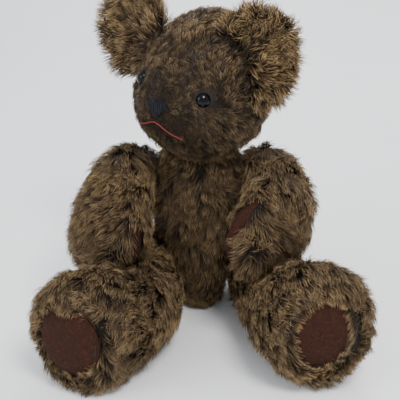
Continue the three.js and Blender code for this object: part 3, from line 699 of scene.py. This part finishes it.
def head_pile(roots, normals):
    """Pile that fans out from the nose and lengthens with distance, clipped round the eyes."""
    from_nose = roots - NOSE_AT
    reach = np.linalg.norm(from_nose, axis=1)
    comb = unit(from_nose)
    # The crown's pile sweeps up and back, and the cheeks' hangs.
    low = np.clip((HEAD_AT[2] - roots[:, 2]) / CHEEK, 0, 1)[:, None]
    comb = comb + np.array([0, 0, -0.9]) * low
    length = np.interp(reach, HEAD_REACH, HEAD_LENGTH)
    length = length + CHEEK_LONGER * low[:, 0] * np.clip((reach - CHEEK_FROM) / CHEEK_OVER, 0, 1)
    keep = everywhere(len(roots))
    for side in SIDES:
        away = roots - EYES_AT[side]
        distance = np.linalg.norm(away, axis=1)
        near = np.clip(1 - (distance - EYE_RIM) / LID, 0, 1)
        comb = comb * (1 - near[:, None]) + unit(away) * near[:, None]
        length = length * (1 - LID_CLIPPED * near)
        keep &= distance > EYE_CLEAR
    return comb, length, keep


def stained(amount):
    """The same darkening all over, or lightening below zero."""
    return lambda points: np.full(len(points), amount)


def leg_stain(side):
    """Paler pile at a sole's seam."""
    return lambda points: 0.1 - 0.4 * sole_rim(side, points)


def beside_ears(points, reach=0.016):
    """How near points of the head are to an ear, from 0 to 1: where shade is painted into the crease at an
    ear's root.
    """
    near = np.zeros(len(points))
    for side in SIDES:
        verts, tris = node_mesh(f"ear_{side}_front")
        tree = BVHTree.FromPolygons(verts.tolist(), tris.tolist())
        for i, point in enumerate(points.tolist()):
            distance = tree.find_nearest(point, reach)[3]
            if distance is not None:
                near[i] = max(near[i], 1 - distance / reach)
    return near


def face_tone_and_painted_shade(points):
    """How much darker the pile is: darker pile about the nose, and painted shade in the hollows about the
    eyes and in the creases at the roots of the ears.
    """
    dark = DARKER["nose"] * nearness(points, NOSE_AT, MUZZLE)
    # painted shade in the crease where each ear meets the head
    dark = np.maximum(dark, DARKER["ears"] * np.clip(1.5 * beside_ears(points), 0, 1))
    # painted shade in the hollow about each eye
    for side in SIDES:
        dark = np.maximum(dark, DARKER["eyes"] * nearness(points, EYES_AT[side], SOCKET))
    return dark


def ear_pile(side):
    """Pile that fans out from low on the ear's inner edge."""
    root = middle(f"ear_{side}_front") * 0.45 + HEAD_AT * 0.55
    root[2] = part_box(f"ear_{side}_front")[0].z + 0.015

    def settings(roots, normals):
        comb = unit(roots - root) + normals * 0.2
        return comb, np.full(len(roots), PILE_LENGTH["ear"]), everywhere(len(roots))

    return settings


# ---------------------------------------------------------------- pieces
def furred(form, body, panels, filler, pile, seed, felt=(), voxel=VOXEL, bare=None, tone_and_painted_shade=stained(0)):
    """One piece of skin and pile for each plush panel of a form; gives back the patches of the felt ones."""
    names = list(panels) + list(felt)
    points, faces = smooth_skin(form, names + list(filler), voxel)
    points[:, 2] = np.maximum(points[:, 2], 0.0)
    if bare is not None:
        faces = faces[~bare(points[faces].mean(1))]
    owner = share_out(points, faces, names)
    made = []
    for i, name in enumerate(names):
        part = faces[owner == i]
        if not len(part):
            continue
        if name in felt:
            made.append((name, points, part))
            continue
        skin, skin_faces = shell(points, part, SKIN)
        # The backing takes the ramp's root end and a darker tone: painted shade in the gaps between the
        # locks.
        shade = root_shade(pile(skin, corner_normals(skin, skin_faces))[1])
        # The backing takes the same darkening, with the head's painted shade.
        skin_uv = np.stack([np.clip(SKIN_TONE - tone_and_painted_shade(skin), TONES[0], 1), shade], 1)
        locks = grow(points, part, pile, seed + i, tone_and_painted_shade)
        if locks is not None:
            skin_faces = np.concatenate([skin_faces, locks[1] + len(skin)])
            skin = np.concatenate([skin, locks[0]])
            skin_uv = np.concatenate([skin_uv, locks[2]])
        obj = mesh_object(f"{name}_pile", skin, skin_faces, skin_uv)
        finish(obj, PILE, body, [name])
    return made


def felt_piece(name, points, part, body):
    """A felt pad: its patch of the form's skin."""
    skin, faces = shell(points, part, SKIN)
    obj = mesh_object(f"{name}_felt", skin, faces)
    finish(obj, FELT, body, [name])


def sole_piece(side):
    """An oval of felt, domed and drawn in at its sewn edge."""
    centre, long, short, out, size = SOLE_FRAMES[side]
    rings, columns = 15, 72
    points = []
    for front in (True, False):
        for r in np.arange(rings) / (rings - 1):
            height = FELT_DOME * (1 - r**3.2) - FELT_TUCK * r**10 if front else -FELT_BACK
            for a in 2 * math.pi * np.arange(columns) / columns:
                flat = long * size[0] * math.cos(a) + short * size[1] * math.sin(a)
                points.append(centre + flat * SEAM_REACH * r + out * height)
    points = np.array(points)
    layer = rings * columns
    points[:layer] += out * (FELT_GRAIN * noise(points[:layer], 0.012, 7))[:, None]
    faces = ring_faces(rings, columns)
    faces += [(layer + a, layer + d, layer + c, layer + b) for a, b, c, d in faces]
    for j in range(columns):
        a, b = layer - columns + j, layer - columns + (j + 1) % columns
        faces.append((a, b, layer + b, layer + a))
    obj = mesh_object(f"sole_{side}_felt", points, np.array(faces))
    tidy_normals(obj)
    finish(obj, FELT, f"{side}_leg", [f"sole_{side}"])


def tidy_normals(obj):
    """Joins doubled points and faces the surface outwards."""
    bm = bmesh.new()
    bm.from_mesh(obj.data)
    bmesh.ops.remove_doubles(bm, verts=bm.verts, dist=1e-6)
    bmesh.ops.dissolve_degenerate(bm, edges=bm.edges, dist=1e-7)
    bmesh.ops.recalc_face_normals(bm, faces=bm.faces)
    bm.to_mesh(obj.data)
    bm.free()


def eye_piece(side):
    """A domed black eye with its rim rolled under, turned smooth."""
    points, _ = node_mesh(f"eye_{side}")
    out = unit(EYES_AT[side] - HEAD_AT)
    centre, axes = principal_axes(points)
    axis = max(axes, key=lambda a: abs(a @ out))
    axis = axis * np.sign(axis @ out)
    reach = (points - centre) @ axis
    top = centre + axis * reach.max() - axis * EYE_SUNK
    side_axis = unit(np.cross(axis, [0, 0, 1]))
    up = np.cross(side_axis, axis)
    columns = 48
    turns = np.linspace(0, math.radians(100), 18)
    outline = [(EYE_RADIUS * math.sin(t), EYE_HEIGHT * (math.cos(t) - 1)) for t in turns]
    outline += [(EYE_STEM[0], -EYE_STEM[1]), (0.0, -EYE_STEM[1])]
    rings = []
    for r, h in outline:
        for a in 2 * math.pi * np.arange(columns) / columns:
            rings.append(top + axis * h + (side_axis * math.cos(a) + up * math.sin(a)) * r)
    faces = ring_faces(len(outline), columns)
    obj = mesh_object(f"eye_{side}_dome", np.array(rings), np.array(faces))
    tidy_normals(obj)
    finish(obj, EYE, "head", [f"eye_{side}"])


def thread(points, radius, plies=3, twist=0.0022, steps=6):
    """A twisted thread along points: its plies as closed tubes. twist is the length of one turn."""
    points = np.asarray(points, float)
    step = np.linalg.norm(np.diff(points, axis=0), axis=1)
    travel = np.concatenate([[0], np.cumsum(step)])
    count = max(6, int(travel[-1] / THREAD_STEP))
    s = np.linspace(0, travel[-1], count)
    line = np.stack([np.interp(s, travel, points[:, k]) for k in range(3)], 1)
    heading = unit(np.gradient(line, axis=0))
    side = unit(np.cross(heading, [0.1, 0.2, 1.0]))
    up = np.cross(side, heading)
    verts, faces = [], []
    for ply in range(plies):
        turn = 2 * math.pi * (s / twist + ply / plies)
        core = line + (side * np.cos(turn)[:, None] + up * np.sin(turn)[:, None]) * radius * PLY_OUT
        base = sum(len(v) for v in verts)
        for j in range(steps):
            a = 2 * math.pi * j / steps
            verts.append(core + (side * math.cos(a) + up * math.sin(a)) * radius * PLY_RADIUS)
        for i in range(count - 1):
            for j in range(steps):
                a, b = base + j * count + i, base + ((j + 1) % steps) * count + i
                faces.append((a, b, b + 1))
                faces.append((a, b + 1, a + 1))
        for end in (0, count - 1):
            ring = [base + j * count + end for j in range(steps)]
            for j in range(1, steps - 1):
                faces.append((ring[0], ring[j], ring[j + 1]))
    return np.concatenate(verts), np.array(faces)


def joined(parts):
    """Several meshes of triangles as one."""
    points, faces, start = [], [], 0
    for p, f in parts:
        points.append(p)
        faces.append(f + start)
        start += len(p)
    return np.concatenate(points), np.concatenate(faces)


def mouth_piece():
    """The smile: one twisted thread laid along the stitched line."""
    points, _ = node_mesh("mouth")
    centre, axes = principal_axes(points)
    across = (points - centre) @ axes[0]
    order = np.linspace(across.min(), across.max(), 15)
    line = []
    for low, high in zip(order[:-1], order[1:]):
        inside = (across >= low - 1e-5) & (across <= high + 1e-5)
        if inside.any():
            line.append(points[inside].mean(0))
    verts, faces = thread(line, MOUTH_THREAD)
    obj = mesh_object("mouth_thread", verts, faces)
    tidy_normals(obj)
    finish(obj, MOUTH, "head", ["mouth"])


def nose_piece():
    """A padded triangle worked in satin stitch: threads side by side from its top edge to its point."""
    points, faces = node_mesh("nose")
    out = unit(NOSE_AT - HEAD_AT)
    up = unit(np.array([0, 0, 1]) - out * out[2])
    side = np.cross(up, out)
    local = (points - NOSE_AT) @ np.stack([side, up, out], 1)
    tree = BVHTree.FromPolygons(points.tolist(), faces.tolist())
    low, high = local[:, 0].min(), local[:, 0].max()
    parts = []
    for x in np.linspace(low + NOSE_INSET, high - NOSE_INSET, NOSE_THREADS):
        line = []
        for y in np.linspace(local[:, 1].min() - 0.001, local[:, 1].max() + 0.001, 40):
            start = NOSE_AT + side * x + up * y + out * 0.02
            hit = tree.ray_cast(start.tolist(), (-out).tolist(), 0.03)
            if hit[0] is not None:
                back = NOSE_BACK + NOSE_CURVE * (2 * x / (high - low)) ** 2
                line.append(np.array(hit[0]) - out * back)
        if len(line) > 3:
            line = np.array(line)
            bow = np.sin(np.linspace(0, math.pi, len(line)))[:, None]
            parts.append(thread(line + out * bow * NOSE_BULGE, NOSE_THREAD, plies=2))
    parts.append((points - out * NOSE_SUNK, faces))
    verts, tris = joined(parts)
    obj = mesh_object("nose_stitches", verts, tris)
    tidy_normals(obj)
    finish(obj, NOSE, "head", ["nose"])


def stuffing_piece(name, body):
    """Loose fibre pressed into its skin: the CAD filling, smoothed and lumpy."""
    points, faces = smooth_skin(name, [name], FIBRE_VOXEL, rounds=6)
    normals = corner_normals(points, faces)
    points = points - normals * (FIBRE_INSET + FIBRE_LUMPS * noise(points, 0.02, 3))[:, None]
    obj = mesh_object(f"{name}_fibre", points, faces)
    finish(obj, FIBRE, body, [name])


furred("torso_skin", "torso", ["body_front_left", "body_back_left", "body_back_right", "body_front_right"],
       ["torso_stuffing"], body_pile, SEEDS["torso"])
furred("head_skin", "head", ["head_side_left", "head_side_right", "head_gusset", "head_chin"],
       ["head_stuffing"], head_pile, SEEDS["head"], tone_and_painted_shade=face_tone_and_painted_shade)
for number, side in enumerate(SIDES):
    seeds = {form: seed + SIDE_SEED * number for form, seed in SEEDS.items()}
    furred(f"ear_{side}_skin", "head", [f"ear_{side}_front", f"ear_{side}_back"], [], ear_pile(side),
           seeds["ear"], voxel=EAR_VOXEL, tone_and_painted_shade=stained(-EAR_PALER))
    pads = furred(f"arm_{side}_skin", f"{side}_arm", [f"arm_{side}_outer", f"arm_{side}_inner"],
                  [f"arm_{side}_stuffing"], arm_pile(side), seeds["arm"], felt=[f"paw_pad_{side}"])
    for name, points, part in pads:
        felt_piece(name, points, part, f"{side}_arm")
    furred(f"leg_{side}_skin", f"{side}_leg", [f"leg_{side}_outer", f"leg_{side}_inner"],
           [f"leg_{side}_stuffing", f"sole_{side}"], leg_pile(side), seeds["leg"],
           bare=under_sole(side), tone_and_painted_shade=leg_stain(side))
    sole_piece(side)
    eye_piece(side)
    stuffing_piece(f"arm_{side}_stuffing", f"{side}_arm")
    stuffing_piece(f"leg_{side}_stuffing", f"{side}_leg")
stuffing_piece("torso_stuffing", "torso")
stuffing_piece("head_stuffing", "head")
nose_piece()
mouth_piece()

for name, obj in NODES.items():
    if obj.hide_render:
        continue
    obj.data.materials.clear()
    obj.data.materials.append(STEEL if name.endswith("_lock") else PLASTIC)
